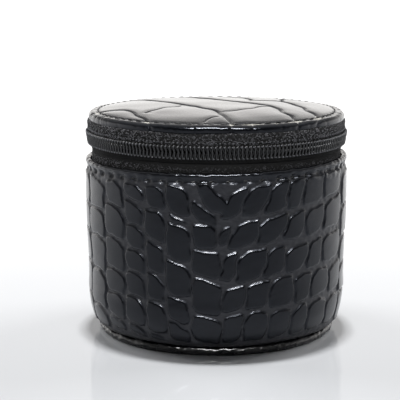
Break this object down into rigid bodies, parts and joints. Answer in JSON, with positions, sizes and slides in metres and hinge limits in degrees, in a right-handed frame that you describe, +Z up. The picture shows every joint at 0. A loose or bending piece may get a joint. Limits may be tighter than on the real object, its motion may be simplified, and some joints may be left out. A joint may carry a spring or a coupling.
{
  "type": "jewellery case",
  "caption": "Round zip-up leather jewellery case with a hinged lid, a full-circle coil zip, velvet lining, ring rolls and two compartments.",
  "frame": {"origin": "centre of the case's underside, on the surface it stands on", "axes": "+Z up along the case's round axis, front towards -Y, lid hinge at the back towards +Y, +X to the right seen from the front"},
  "size_m": [0.1, 0.1, 0.085],
  "materials": {
    "embossed_leather": "glossy black leather with a croc-pattern emboss",
    "smooth_leather": "glossy smooth black leather",
    "board": "raw grey-brown paperboard",
    "velvet": "short black velvet pile",
    "wadding": "thin white wadding",
    "zip_tape": "woven black polyester tape",
    "nylon_coil": "satin black nylon",
    "thread": "twisted black sewing thread",
    "black_metal": "glossy black enamel on die-cast metal"
  },
  "bodies": {
    "case": {"base_cover": "smooth_leather", "base_board": "board", "body_leather": "embossed_leather", "body_board": "board", "bottom_board": "board", "lining_wall": "velvet", "floor_pad": "velvet", "rim_stitching": "thread", "lower_zip_tape": "zip_tape", "lower_zip_coil": "nylon_coil", "zip_top_stop": "black_metal", "zip_bottom_stop": "black_metal", "long_divider": "velvet", "short_divider": "velvet", "ring_block": "velvet", "ring_roll_inner": "velvet", "ring_roll_middle": "velvet", "ring_roll_outer": "velvet", "hinge_strip": "smooth_leather", "hinge_lining": "velvet"},
    "lid": {"lid_leather": "embossed_leather", "lid_board": "board", "lid_wadding": "wadding", "lid_lining_pad": "velvet", "lid_stitching": "thread", "upper_zip_tape": "zip_tape", "upper_zip_coil": "nylon_coil"},
    "slider": {"slider_body": "black_metal"},
    "pull": {"slider_pull": "black_metal"}
  },
  "joints": [
    {"name": "lid_hinge", "type": "hinge", "parent": "case", "child": "lid", "pos_m": [0, 0.049, 0.0775], "axis": [-1, 0, 0], "range_deg": [0, 105], "deforming": ["hinge_strip", "hinge_lining"]},
    {"name": "zip_travel", "type": "hinge", "parent": "case", "child": "slider", "pos_m": [0, 0, 0.0745], "axis": [0, 0, 1], "range_deg": [0, 290]},
    {"name": "pull_swing", "type": "hinge", "parent": "slider", "child": "pull", "pos_m": [-0.02952, 0.04216, 0.0745], "axis": [0, 0, -1], "range_deg": [0, 180]}
  ]
}
